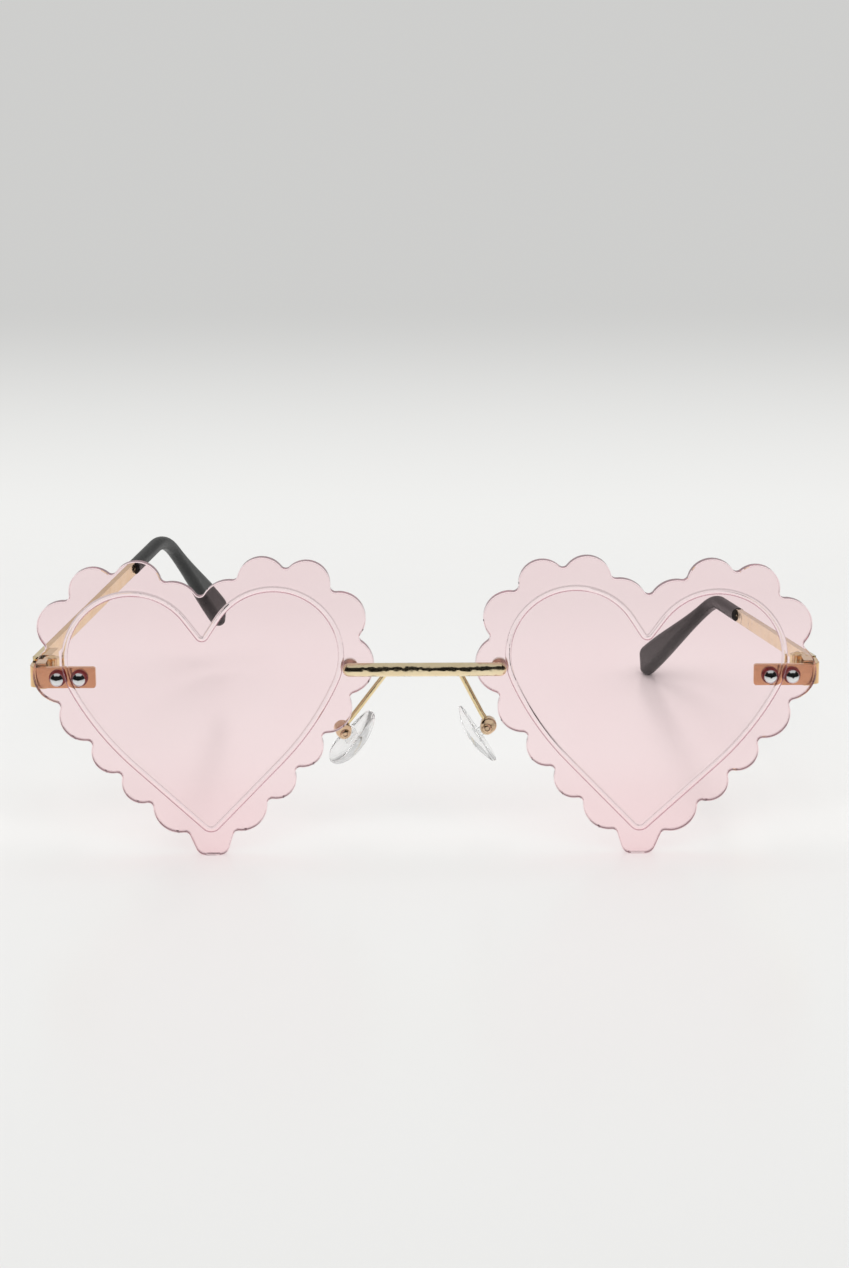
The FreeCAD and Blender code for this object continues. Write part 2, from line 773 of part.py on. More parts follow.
def section(name, across, place, heading, width, thickness):
    """Round-cornered oblong across the middle line, its width upright and its thickness across."""
    flat = (across - heading * across.dot(heading)).normalize()
    rise = flat.cross(heading)
    corner = CORNER_SHARE * thickness
    half = width / 2 - corner
    side = thickness / 2 - corner
    edges = []
    last = None
    for quarter in range(4):
        turn = math.pi / 2 * quarter
        up = 1 if quarter in (0, 3) else -1
        out = 1 if quarter in (0, 1) else -1
        middle = place + rise * (half * up) + flat * (side * out)
        ways = [turn, turn + math.pi / 4, turn + math.pi / 2]
        rays = [rise * math.cos(way) + flat * math.sin(way) for way in ways]
        start, halfway, end = [middle + ray * corner for ray in rays]
        if last:
            edges.append(Part.LineSegment(last, start).toShape())
        else:
            first = start
        edges.append(Part.Arc(start, halfway, end).toShape())
        last = end
    edges.append(Part.LineSegment(last, first).toShape())
    outline = doc.addObject("Part::Feature", name)
    outline.Shape = Part.Wire(edges)
    return outline


def paddle_swell(along):
    """Smooth growth from the slim sleeve to the full paddle, for a share of the leg."""
    reach = min(along / PADDLE_FULL_SHARE, 1)
    return reach ** 2 * (3 - 2 * reach)


def leg_stations():
    """Shares of the leg with their scale: even up to the end's rounding, then closing like an ellipse."""
    stations = [(END_ROUND_SHARE * number / LEG_STATIONS, 1) for number in range(1, LEG_STATIONS + 1)]
    for number in range(1, END_STATIONS + 1):
        turn = math.pi / 2 * END_CLOSE_SHARE * number / END_STATIONS
        stations.append((END_ROUND_SHARE + (1 - END_ROUND_SHARE) * math.sin(turn), math.cos(turn)))
    return stations


def tip_sections(side, frame):
    """Round along the bar and the bend, then widening to the paddle and closing at the end."""
    line, bend, leg = temple_edges(side, frame, 0, 0)
    slim = v.sleeve_diameter
    places = [(line.Vertexes[0].Point, line.tangentAt(line.FirstParameter), slim, slim)]
    for number in range(BEND_STATIONS + 1):
        at = bend.FirstParameter + (bend.LastParameter - bend.FirstParameter) * number / BEND_STATIONS
        places.append((bend.valueAt(at), bend.tangentAt(at), slim, slim))
    heading = leg.tangentAt(leg.FirstParameter)
    for along, scale in leg_stations():
        width = slim + paddle_swell(along) * (v.paddle_width - slim)
        thickness = slim + paddle_swell(along) * (v.paddle_thickness - slim)
        place = leg.Vertexes[0].Point + heading * along * leg.Length
        places.append((place, heading, scale * width, scale * thickness))
    across = frame.Rotation.multVec(ACROSS)
    return [
        section(f"tip_section_{side}", across, place, way, width, thickness)
        for place, way, width, thickness in places
    ]


def tip_loft(name, side, frame):
    loft = doc.addObject("Part::Loft", name)
    loft.Sections = tip_sections(side, frame)
    loft.Solid = True
    loft.Ruled = True
    return loft


def temple_frame(side, lift):
    """Placement of a temple: lifted at the hinge, then swung in by its splay."""
    swing = Rotation(UP, side_value("temple_splay_angle", side))
    return Placement(hinge_foot, swing.multiply(Rotation(ACROSS, lift)))


def lift_to_table(side):
    """Lift that brings the lowest point of a tip down to the table."""
    level = temple_frame(side, 0)
    loft = tip_loft("table_trial", side, level)
    doc.recompute()
    placed_points = loft.Shape.tessellate(TRIAL_SHARE * v.fit_clearance)[0]
    points = [level.inverse().multVec(point) for point in placed_points]
    trial = list(loft.Sections)
    doc.removeObject(loft.Name)
    for outline in trial:
        doc.removeObject(outline.Name)
    low, high = -v.temple_lift_limit_angle, v.temple_lift_limit_angle
    for _ in range(LIFT_HALVINGS):
        lift = (low + high) / 2
        frame = temple_frame(side, lift)
        lowest = min(frame.multVec(point).z for point in points)
        if lowest < 0:
            low = lift
        else:
            high = lift
    return high


def add_temple(side, lift):
    frame = temple_frame(side, lift)
    upright = Placement(hinge_foot, Rotation(UP, side_value("temple_splay_angle", side)))
    bar_face = v.hinge_inset - v.bar_thickness

    strip = block(
        f"bar_strip_{side}", "bar_thickness", "bar_lead + bend_reach - sleeve_lead", "bar_height",
        Vector(bar_face, -v.bar_lead, side_value("bar_rise", side) - v.bar_height / 2), frame,
    )
    core_path = temple_edges(side, frame, v.bar_lead, v.core_stop)
    core = wire_along(f"bar_core_{side}", "core_diameter", core_path)
    keep_side("temple_bar", side, joined(f"temple_bar_{side}", strip, core))

    sleeve = tip_loft(f"tip_sleeve_{side}", side, frame)
    bore = wire_along(f"tip_bore_{side}", "core_diameter + 2 * fit_clearance", core_path)
    keep_side("temple_tip", side, cut(f"temple_tip_{side}", sleeve, bore))

    inner = bar_face - v.temple_leaf_thickness
    front = knuckle_radius + v.leaf_relief
    leaf = block(
        f"temple_leaf_plate_{side}", "temple_leaf_thickness", "temple_leaf_length",
        f"(hinge_height - 2 * knuckle_gap) / 6 + {side}_bar_rise + temple_leaf_height / 2",
        Vector(inner, front, -knuckle_height / 2), frame,
    )
    ring = knuckle(f"temple_ring_{side}", -knuckle_height / 2, upright)
    web = knuckle_web(f"temple_web_{side}", Vector(inner, 0, -knuckle_height / 2), upright)
    whole = joined(f"temple_leaf_whole_{side}", leaf, ring, web)
    leaf = cut(f"hinge_temple_leaf_{side}", whole, hinge_bore(f"temple_leaf_bore_{side}", upright))
    keep_side("hinge_temple_leaf", side, leaf)


# Nose pads: each has a frame with X out from the nose, Y along the rocking screw and Z up the pad

def pad_frame(side):
    tilt = Rotation(BACK, -side_value("pad_tilt_angle", side))
    turn = Rotation(UP, -side_value("pad_turn_angle", side))
    spread = v.lens_gap / 2 + side_value("pad_outset", side)
    foot = Vector(spread, v.pad_setback, bridge_level - side_value("pad_drop", side))
    return Placement(foot, tilt.multiply(turn))


def egg_outline(low, low_radius, top, top_radius):
    """Egg: a round about each of two middles, one over the other, joined by straight sides."""
    low_middle = Vector(0, low, 0)
    top_middle = Vector(0, top, 0)
    rise = (low_radius - top_radius) / (top - low)
    side = Vector(math.sqrt(1 - rise ** 2), rise, 0)
    other = flipped(side)
    bottom = Vector(0, low - low_radius, 0)
    crown = Vector(0, top + top_radius, 0)
    low_right, low_left = [low_middle + way * low_radius for way in (side, other)]
    top_right, top_left = [top_middle + way * top_radius for way in (side, other)]
    return [
        Part.LineSegment(low_right, top_right),
        Part.Arc(top_right, crown, top_left),
        Part.LineSegment(top_left, low_left),
        Part.Arc(low_left, bottom, low_right),
    ]


def add_nose_pad(side):
    """Egg with a domed face to the nose and a recess for the insert in its flat back."""
    frame = pad_frame(side)
    body = doc.addObject("PartDesign::Body", f"pad_body_{side}")
    shell = body.newObject("PartDesign::Pad", f"pad_shell_{side}")
    back = Placement(Vector(0, 0, -v.pad_standoff), Rotation())
    low_radius = v.pad_width / 2
    half = v.pad_length / 2
    egg = egg_outline(low_radius - half, low_radius, half - v.pad_top_radius, v.pad_top_radius)
    shell.Profile = sketch_on(body, "YZ_Plane", f"pad_outline_{side}", egg, back)
    shell.setExpression("Length", formula("pad_thickness"))
    shell.Reversed = True
    doc.recompute()
    edge = body.newObject("PartDesign::Fillet", f"pad_edge_{side}")
    edge.Base = (shell, plate_faces(shell.Shape, ACROSS))
    edge.setExpression("Radius", formula("pad_edge_radius"))
    half_width = v.insert_width / 2 + v.fit_clearance
    half_length = v.insert_length / 2 + v.fit_clearance
    recess = polygon([
        Vector(-half_width, -half_length, 0), Vector(half_width, -half_length, 0),
        Vector(half_width, half_length, 0), Vector(-half_width, half_length, 0),
    ])
    doc.recompute()
    before = body.Shape.Volume
    pocket = body.newObject("PartDesign::Pocket", f"pad_recess_{side}")
    pocket.Profile = sketch_on(body, "YZ_Plane", f"pad_recess_outline_{side}", recess, back)
    pocket.setExpression("Length", formula("insert_thickness"))
    body.Placement = frame
    doc.recompute()
    if not body.Shape.Volume < before:
        raise RuntimeError("the pad recess cuts nothing")
    ball = made("Part::Sphere", f"pad_face_{side}", Radius="pad_face_radius")
    ball_middle = Vector(v.pad_face_radius - v.pad_standoff - v.pad_thickness, 0, 0)
    ball.Placement = frame.multiply(Placement(ball_middle, Rotation()))
    domed = doc.addObject("Part::Common", f"nose_pad_{side}")
    domed.Base = body
    domed.Tool = ball
    keep_side("nose_pad", side, domed)


def add_pad_insert(side):
    """Base sunk in the pad's back, with a drilled tab that rocks in the box."""
    frame = pad_frame(side)
    base = block(
        f"insert_base_{side}", "insert_thickness", "insert_width", "insert_length",
        Vector(-v.pad_standoff - v.insert_thickness, -v.insert_width / 2, -v.insert_length / 2), frame,
    )
    tab = block(
        f"insert_tab_{side}", "pad_standoff", "tab_thickness", "2 * tab_radius",
        Vector(-v.pad_standoff, -v.tab_thickness / 2, -v.tab_radius), frame,
    )
    nose = rod(
        f"insert_nose_{side}", "2 * tab_radius", "tab_thickness",
        Vector(0, -v.tab_thickness / 2, 0), BACK, frame,
    )
    hole = rod(
        f"insert_hole_{side}", "pad_screw_diameter + 2 * running_clearance", "box_width",
        Vector(0, -v.box_width / 2, 0), BACK, frame,
    )
    whole = joined(f"insert_whole_{side}", base, tab, nose)
    keep_side("pad_insert", side, cut(f"pad_insert_{side}", whole, hole))


def arm_seat():
    """Place in the pad's frame where the arm ends, at the bottom of its socket in the box."""
    top = v.box_spread * math.cos(math.radians(v.box_lean_angle)) + v.box_arm_radius
    return Vector(v.arm_offset, 0, top - v.arm_socket_depth)


def add_pad_box(side):
    """Egg-shaped box, slotted towards the pad, with a crossways screw hole and a socket for the arm."""
    frame = pad_frame(side)
    body = doc.addObject("PartDesign::Body", f"box_body_{side}")
    solid = body.newObject("PartDesign::Pad", f"box_solid_{side}")
    egg = egg_outline(0, v.box_screw_radius, v.box_spread, v.box_arm_radius)
    lean = Placement(Vector(), Rotation(UP, -v.box_lean_angle))
    solid.Profile = sketch_on(body, "XZ_Plane", f"box_outline_{side}", egg, lean)
    solid.setExpression("Length", formula("box_width"))
    solid.Midplane = True
    doc.recompute()
    edge = body.newObject("PartDesign::Fillet", f"box_edge_{side}")
    edge.Base = (solid, plate_faces(solid.Shape, BACK))
    edge.setExpression("Radius", formula("box_edge_radius"))
    body.Placement = frame
    slot_foot = -v.box_screw_radius - v.cut_overrun
    slot = block(
        f"box_slot_{side}", "box_screw_radius + cut_overrun + tab_radius + slot_gap",
        "box_width - 2 * box_wall", "box_screw_radius + cut_overrun + tab_radius + slot_gap",
        Vector(slot_foot, v.box_wall - v.box_width / 2, slot_foot), frame,
    )
    hole = rod(
        f"box_hole_{side}", "pad_screw_diameter + 2 * fit_clearance", "box_width + 2 * cut_overrun",
        Vector(0, -v.box_width / 2 - v.cut_overrun, 0), BACK, frame,
    )
    socket = rod(
        f"box_socket_{side}", "arm_diameter + 2 * fit_clearance", "arm_socket_depth + cut_overrun",
        arm_seat(), UP, frame,
    )
    keep_side("pad_box", side, cut(f"pad_box_{side}", body, slot, hole, socket))


def add_pad_screw(side):
    """Screw through the box and the tab, its head with a six-sided socket to the front."""
    frame = pad_frame(side)
    head = v.pad_screw_head_diameter / 2
    curves = dome_section(head, v.pad_screw_head_height, v.pad_screw_diameter / 2, v.box_width)
    pin = turned(f"pad_pin_{side}", curves)
    front = -v.box_width / 2 - v.fit_clearance
    pin.Placement = frame.multiply(Placement(Vector(0, front, 0), Rotation(UP, -BACK)))
    socket = made(
        "Part::Prism", f"pad_pin_socket_{side}",
        Circumradius="pad_screw_socket_width / 2", Height="pad_screw_head_height",
    )
    socket_foot = Vector(0, front - v.driver_slot_depth, 0)
    socket.Placement = frame.multiply(Placement(socket_foot, Rotation(UP, -BACK)))
    keep_side("pad_screw", side, cut(f"pad_screw_{side}", pin, socket))


def add_pad_arm(side):
    """Wire from the flat back of the bridge bar, sinking below it, then down into the box."""
    frame = pad_frame(side)
    end = frame.multVec(arm_seat())
    foot = frame.multVec(arm_seat() + UP * (v.arm_socket_depth + v.arm_foot_length))
    root = Vector(v.lens_gap / 2 - v.arm_root_inset, -v.fit_clearance, bridge_level)
    crest = Vector(root.x, foot.y, root.z)
    knee = crest + (foot - crest) * (v.bridge_diameter / 2 / (crest.z - foot.z))
    path = rounded_path([root, root + BACK * v.arm_diameter, knee, foot, end], v.arm_bend_radius)
    keep_side("pad_arm", side, wire_along(f"pad_arm_{side}", "arm_diameter", path))


def place_all():
    """Put the origin on the table, under the middle of the whole part."""
    doc.recompute()
    whole = FreeCAD.BoundBox()
    for thing in nodes.values():
        whole.add(thing.Shape.BoundBox)
    middle = Vector(0, whole.Center.y, 0)
    for label, thing in nodes.items():
        thing.Label = f"{label}_drawn"
        placed = grouped(label, thing)
        placed.Label = label
        placed.Placement = Placement(-middle, Rotation())
        nodes[label] = placed


def check_all():
    """Stop unless every object is sound and every sub-part is a valid shape."""
    doc.recompute()
    for thing in doc.Objects:
        if {"Invalid", "Error"} & set(thing.State):
            raise RuntimeError(f"{thing.Label} failed: {thing.State}")
    for label, thing in nodes.items():
        if thing.Shape.isNull() or not thing.Shape.isValid() or not thing.Shape.Solids:
            raise RuntimeError(f"{label} has no valid solid")


def write_all():
    os.makedirs("parts", exist_ok=True)
    for label, thing in sorted(nodes.items()):
        thing.Shape.exportStep(f"parts/{label}.step")
        print(label, len(thing.Shape.Solids), round(thing.Shape.Volume, 3))


add_lens()
add_bridge()
add_bridge_nuts()
add_endpieces()
add_lens_fasteners()
add_front_leaves()
add_hinge_screws()
add_temple("left", v.left_temple_lift_angle)
add_temple("right", lift_to_table("right"))
for each in ("left", "right"):
    add_nose_pad(each)
    add_pad_insert(each)
    add_pad_box(each)
    add_pad_screw(each)
    add_pad_arm(each)
place_all()
check_all()
write_all()
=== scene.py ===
import math

import bpy
from mathutils import Matrix, Vector


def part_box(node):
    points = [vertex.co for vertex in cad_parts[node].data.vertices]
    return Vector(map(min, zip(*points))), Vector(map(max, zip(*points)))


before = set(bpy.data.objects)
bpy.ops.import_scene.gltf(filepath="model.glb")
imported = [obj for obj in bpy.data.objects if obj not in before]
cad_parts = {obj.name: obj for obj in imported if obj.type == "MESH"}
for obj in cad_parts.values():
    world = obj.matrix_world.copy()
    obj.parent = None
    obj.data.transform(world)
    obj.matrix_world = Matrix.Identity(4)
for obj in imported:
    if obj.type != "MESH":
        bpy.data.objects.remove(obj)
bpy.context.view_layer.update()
scene = bpy.context.scene
scene.view_settings.view_transform = "Standard"

# Camera, fitted to a frame of 849 x 1268 pixels, in metres and degrees
FRAME_HEIGHT_PX = 1268
FOCAL_PX = 2807.8
CAMERA_DISTANCE = 0.498
CAMERA_HEIGHT = 0.1465
CAMERA_PITCH = 11.9
CAMERA_ROLL = 0.25

lens_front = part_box("lens_left")[0].y
camera_data = bpy.data.cameras.new("camera")
camera_data.lens = FOCAL_PX * camera_data.sensor_width / FRAME_HEIGHT_PX
camera = bpy.data.objects.new("camera", camera_data)
scene.collection.objects.link(camera)
camera.matrix_world = (
    Matrix.Translation((0.0, lens_front - CAMERA_DISTANCE, CAMERA_HEIGHT))
    @ Matrix.Rotation(math.radians(90.0 - CAMERA_PITCH), 4, "X")
    @ Matrix.Rotation(math.radians(-CAMERA_ROLL), 4, "Z")
)
scene.camera = camera

# Noise: the span that it mostly keeps to, its roughness, and its stretch along X, Y and Z
NOISE_LOW, NOISE_HIGH, NOISE_ROUGHNESS = 0.3, 0.7, 0.55
EVEN_GRAIN = (1.0, 1.0, 1.0)

# Eased edges: samples, and the cosine between eased and flat normal at which an edge counts in full
BEVEL_SAMPLES, EDGE_COSINE = 6, 0.8


class Shader:
    """A material's node tree, with short calls for the nodes that the materials share."""

    def __init__(self, name):
        self.material = bpy.data.materials.new(name)
        self.material.use_nodes = True
        self.tree = self.material.node_tree
        self.tree.nodes.clear()
        self.output = self.add("ShaderNodeOutputMaterial")
        self.body = self.add("ShaderNodeBsdfPrincipled")
        self.place = self.add("ShaderNodeTexCoord").outputs["Object"]
        self.link(self.body.outputs[0], self.output.inputs["Surface"])

    def add(self, kind, **settings):
        node = self.tree.nodes.new(kind)
        for key, value in settings.items():
            setattr(node, key, value)
        return node

    def link(self, source, target):
        self.tree.links.new(source, target)

    def set(self, **values):
        """Gives sockets of the body plain values."""
        for key, value in values.items():
            self.body.inputs[key.replace("_", " ")].default_value = value

    def drive(self, **sources):
        """Links sockets of the body to patterns."""
        for key, source in sources.items():
            self.link(source, self.body.inputs[key.replace("_", " ")])

    def noise(self, scale, detail=3.0, stretch=EVEN_GRAIN):
        """Noise in the part's own metres; scale is features to the metre."""
        mapping = self.add("ShaderNodeMapping")
        mapping.inputs["Scale"].default_value = stretch
        self.link(self.place, mapping.inputs["Vector"])
        node = self.add("ShaderNodeTexNoise")
        node.inputs["Scale"].default_value = scale
        node.inputs["Detail"].default_value = detail
        node.inputs["Roughness"].default_value = NOISE_ROUGHNESS
        self.link(mapping.outputs[0], node.inputs["Vector"])
        return node.outputs[0]

    def spread(self, source, low, high, start=NOISE_LOW, end=NOISE_HIGH, ease="LINEAR"):
        """Maps a pattern's span from start to end to the span from low to high."""
        node = self.add("ShaderNodeMapRange", interpolation_type=ease)
        node.inputs["From Min"].default_value = start
        node.inputs["From Max"].default_value = end
        node.inputs["To Min"].default_value = low
        node.inputs["To Max"].default_value = high
        self.link(source, node.inputs["Value"])
        return node.outputs[0]

    def part(self, vector, axis):
        split = self.add("ShaderNodeSeparateXYZ")
        self.link(vector, split.inputs[0])
        return split.outputs[axis]

    def combine(self, operation, *sources):
        node = self.add("ShaderNodeMath", operation=operation)
        for source, socket in zip(sources, node.inputs):
            self.link(source, socket)
        return node.outputs[0]

    def blend(self, share, first, second):
        """A colour between two, each a colour or an output."""
        node = self.add("ShaderNodeMix", data_type="RGBA")
        self.link(share, node.inputs[0])
        for socket, value in ((node.inputs[6], first), (node.inputs[7], second)):
            if isinstance(value, tuple):
                socket.default_value = (*value, 1.0)
            else:
                self.link(value, socket)
        return node.outputs[2]

    def mottle(self, pale, deep, scale, detail=3.0):
        """A colour that drifts between two in soft patches."""
        return self.blend(self.spread(self.noise(scale, detail), 0.0, 1.0), pale, deep)

    def bump(self, source, depth, base=None, strength=1.0):
        node = self.add("ShaderNodeBump")
        node.inputs["Strength"].default_value = strength
        node.inputs["Distance"].default_value = depth
        self.link(source, node.inputs["Height"])
        if base is not None:
            self.link(base, node.inputs["Normal"])
        return node.outputs[0]

    def flat_normal(self):
        return self.add("ShaderNodeNewGeometry").outputs["Normal"]

    def round_edges(self, radius):
        """The normal with the edges eased, and how near an edge a point is."""
        ease = self.add("ShaderNodeBevel", samples=BEVEL_SAMPLES)
        ease.inputs["Radius"].default_value = radius
        dot = self.add("ShaderNodeVectorMath", operation="DOT_PRODUCT")
        self.link(ease.outputs[0], dot.inputs[0])
        self.link(self.flat_normal(), dot.inputs[1])
        return ease.outputs[0], self.spread(dot.outputs["Value"], 1.0, 0.0, EDGE_COSINE, 1.0)

    def rays(self, *kinds):
        """One for any of these kinds of ray, or else zero."""
        path = self.add("ShaderNodeLightPath")
        found = path.outputs[kinds[0]]
        for kind in kinds[1:]:
            found = self.combine("MAXIMUM", found, path.outputs[kind])
        return found

    def over(self, share, shader):
        """Lays another shader over the body by a share."""
        mix = self.add("ShaderNodeMixShader")
        self.link(share, mix.inputs[0])
        self.link(self.body.outputs[0], mix.inputs[1])
        self.link(shader.outputs[0], mix.inputs[2])
        self.link(mix.outputs[0], self.output.inputs["Surface"])

    def let_lamps_through(self, tint):
        """Lamp rays and scattered light pass, tinted, so that what stands behind isn't left dark."""
        clear = self.add("ShaderNodeBsdfTransparent")
        clear.inputs[0].default_value = (*tint, 1.0)
        self.over(self.rays("Is Shadow Ray", "Is Diffuse Ray"), clear)

    def absorb(self, colour, density):
        node = self.add("ShaderNodeVolumeAbsorption")
        node.inputs["Color"].default_value = (*colour, 1.0)
        node.inputs["Density"].default_value = density
        self.link(node.outputs[0], self.output.inputs["Volume"])


# Materials, with depths and radii in metres

def plated_metal(name, tones, rough, edge_radius, wave=2e-5, grain=EVEN_GRAIN):
    """Polished plating, slightly wavy: cloudy tone, fine drawn grain, and eased edges."""
    pale, deep, edge_wear_and_shade = tones
    s = Shader(name)
    s.set(Metallic=1.0)
    eased, edge = s.round_edges(edge_radius)
    waves = s.bump(s.noise(330.0, detail=2.0), wave, base=eased)
    # The edge mask lays on the edge tone: wear where it is paler, painted shade where it is dark.
    s.drive(
        Base_Color=s.blend(edge, s.mottle(pale, deep, scale=220.0), edge_wear_and_shade),
        Roughness=s.spread(s.noise(1400.0, 4.0, grain), 0.7 * rough, 1.4 * rough),
        Normal=s.bump(s.noise(2600.0, 3.0, grain), depth=4e-6, base=waves),
    )
    return s.material


def tinted_acrylic(name):
    """Clear acrylic with a rose tint through its depth, gently uneven.

    Its cut edges are deeper in tone and scatter part of the light; the deeper tone is partly painted
    shade, laid on most where they face up.
    """
    pale, deep = (1.0, 0.912, 0.916), (1.0, 0.892, 0.902)
    cut_shade_tone, cut_clearness = (0.36, 0.13, 0.18), 0.45
    s = Shader(name)
    s.set(IOR=1.42)
    eased, edge = s.round_edges(2.4e-4)
    # Painted shade: the dark cut tone is laid on in full where walls face up, and only a fifth where
    # they face down.
    up_facing_shade = s.spread(s.part(eased, "Z"), low=0.2, high=1.0, start=-0.15, end=0.25)
    facing = s.combine("ABSOLUTE", s.part(s.flat_normal(), "Y"))
    wall = s.spread(facing, low=1.0, high=0.0, start=0.35, end=0.75)
    # The cut tone is partly the deeper rose of cut acrylic and partly painted shade for the dark
    # lines along the edges.
    cut_and_shade = s.combine("MULTIPLY", s.combine("MAXIMUM", edge, wall), up_facing_shade)
    s.drive(
        Base_Color=s.blend(cut_and_shade, s.mottle(pale, deep, scale=55.0, detail=4.0), cut_shade_tone),
        Transmission_Weight=s.spread(cut_and_shade, low=1.0, high=cut_clearness, start=0.0, end=1.0),
        Roughness=s.spread(s.noise(420.0, detail=5.0), 0.0, 0.012),
        Normal=s.bump(s.noise(38.0, detail=2.0), depth=2e-5, strength=0.3),
    )
    s.absorb((0.97, 0.05, 0.2), density=48.0)
    s.let_lamps_through((0.96, 0.94, 0.94))
    return s.material


def clear_silicone(name, tint, ior, rough):
    """Soft clear plastic with a faintly milky, uneven skin."""
    milky = tuple(0.98 * channel for channel in tint)
    s = Shader(name)
    s.set(Transmission_Weight=0.9, IOR=ior)
    s.drive(
        Base_Color=s.mottle(tint, milky, scale=400.0),
        Roughness=s.spread(s.noise(900.0, detail=4.0), 0.5 * rough, 1.5 * rough),
        Normal=s.bump(s.noise(300.0, detail=2.0), depth=1e-5, strength=0.4),
    )
    s.let_lamps_through((0.95, 0.96, 0.96))
    return s.material


def sleeve_plastic(name):
    """Satin black sleeve: soft mottling and a fine orange peel."""
    black, charcoal = (0.011, 0.0115, 0.0115), (0.018, 0.0185, 0.018)
    s = Shader(name)
    s.set(IOR=1.18)
    s.drive(
        Base_Color=s.mottle(black, charcoal, scale=260.0, detail=4.0),
        Roughness=s.spread(s.noise(1500.0, detail=5.0), 0.26, 0.38),
        Normal=s.bump(s.noise(1900.0), depth=8e-6, strength=0.4),
    )
    return s.material


def bush_plastic(name):
    """Dark red moulded plastic, its deep red partly a painted shade for the shadow around each screw
    seen through the lens.
    """
    red, deep_red = (0.2, 0.006, 0.005), (0.11, 0.003, 0.003)
    s = Shader(name)
    s.set(IOR=1.5)
    s.drive(
        Base_Color=s.mottle(red, deep_red, scale=1500.0),
        Roughness=s.spread(s.noise(2500.0), 0.22, 0.4),
        Normal=s.bump(s.noise(3000.0, detail=2.0), depth=6e-6, strength=0.5),
    )
    return s.material


# Tones of plating: pale, deep, and the edge tone: a paler worn edge on gold and steel, a painted
# dark edge shade on the pad boxes and end plates
GOLD_EDGE, BOX_EDGE_SHADE = (0.94, 0.85, 0.64), (0.2, 0.09, 0.055)
GOLD = (0.9, 0.75, 0.45), (0.83, 0.66, 0.37), GOLD_EDGE
BAR_GOLD = (0.9, 0.77, 0.52), (0.84, 0.69, 0.44), GOLD_EDGE
NUT_GOLD = (0.96, 0.93, 0.88), (0.9, 0.86, 0.8), GOLD_EDGE
BOX_GOLD = (0.9, 0.7, 0.48), (0.66, 0.44, 0.28), BOX_EDGE_SHADE
ROSE_GOLD = (0.94, 0.63, 0.34), (0.88, 0.56, 0.29), (0.55, 0.3, 0.15)
STEEL = (0.8, 0.81, 0.81), (0.68, 0.69, 0.7), (0.9, 0.9, 0.9)

# Grain drawn along the temples, and along the bridge bar
DRAWN_GRAIN, BAR_GRAIN = (1.0, 0.15, 1.0), (0.15, 1.0, 1.0)

# Materials by slot, and finishes of the pieces that look unlike the rest of their slot
materials = {
    "tinted_lens": tinted_acrylic("rose_acrylic"),
    "gold_metal": plated_metal(
        "gold_plating", GOLD, rough=0.12, edge_radius=1.2e-4, wave=1.8e-4, grain=DRAWN_GRAIN
    ),
    "gold_screw": plated_metal("gold_screw_plating", GOLD, rough=0.14, edge_radius=8e-5),
    "steel_screw": plated_metal("polished_steel", STEEL, rough=0.08, edge_radius=8e-5),
    "bush_plastic": bush_plastic("red_bush_plastic"),
    "clear_pad": clear_silicone("clear_silicone", (0.98, 0.985, 0.985), ior=1.41, rough=0.05),
    "pad_core": clear_silicone("clear_core", (0.96, 0.97, 0.97), ior=1.45, rough=0.05),
    "black_sleeve": sleeve_plastic("black_sleeve_plastic"),
}
finishes = {
    # Painted shade: the dark edge tone draws a darker outline around the end plates.
    "endpiece": plated_metal("plate_gold", ROSE_GOLD, rough=0.16, edge_radius=1.2e-4),
    "bridge_nut": plated_metal("nut_gold", NUT_GOLD, rough=0.35, edge_radius=8e-5),
    "bridge_bar": plated_metal(
        "bar_gold", BAR_GOLD, rough=0.19, edge_radius=1.2e-4, wave=7e-4, grain=BAR_GRAIN
    ),
    # Painted shade: the dark edge tone draws the shadow lines around the pad boxes and their screws.
    "pad_box": plated_metal("box_gold", BOX_GOLD, rough=0.14, edge_radius=2.2e-4, wave=4e-4),
    "pad_screw": plated_metal("pad_screw_gold", BOX_GOLD, rough=0.12, edge_radius=1.6e-4),
}
for name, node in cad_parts.items():
    piece = name.removesuffix("_left").removesuffix("_right")
    for slot in node.material_slots:
        slot.material = finishes.get(piece) or materials[slot.material.name]


# Stage: a sweep of pale paper, soft lamps, and dark cards that only polished faces mirror

def sheet_of(name, points, faces, material):
    mesh = bpy.data.meshes.new(name)
    mesh.from_pydata(points, [], faces)
    mesh.materials.append(material)
    made = bpy.data.objects.new(name, mesh)
    scene.collection.objects.link(made)
    return made


def sweep(name, half_width, front, back, cove, height, material, steps=16):
    """A floor that curves up into a wall at the back."""
    line = [(front, 0.0), (back - cove, 0.0)]
    for i in range(1, steps + 1):
        turn = math.radians(90.0 * i / steps)
        line.append((back - cove + cove * math.sin(turn), cove * (1.0 - math.cos(turn))))
    line.append((back, height))
    points = [(side * half_width, y, z) for y, z in line for side in (-1.0, 1.0)]
    faces = [(2 * i, 2 * i + 1, 2 * i + 3, 2 * i + 2) for i in range(len(line) - 1)]
    for face in sheet_of(name, points, faces, material).data.polygons:
        face.use_smooth = True


# Tones of the paper, and where each change of tone starts and ends: along Y, or out to the sides
# PAPER_FRONT and PAPER_NEAR paint shade on the floor toward the front; PAPER_MAIN steps in brighter
# just behind the lenses.
PAPER_FRONT, PAPER_NEAR, PAPER_MAIN = (0.8, 0.8, 0.793), (0.9, 0.9, 0.892), (0.965, 0.965, 0.957)
BACKDROP_PALE, BACKDROP_GREY = (0.9, 0.9, 0.885), (0.62, 0.62, 0.61)
NEARLY_BLACK = (0.01, 0.01, 0.01)
TO_NEAR, TO_MAIN, TO_GREY = (-0.26, -0.085), (-0.09, -0.06), (0.15, 1.05)
FROM_BLACK, TO_BACKDROP, TO_SIDES = (-0.32, -0.2), (0.12, 0.34), (0.6, 1.6)


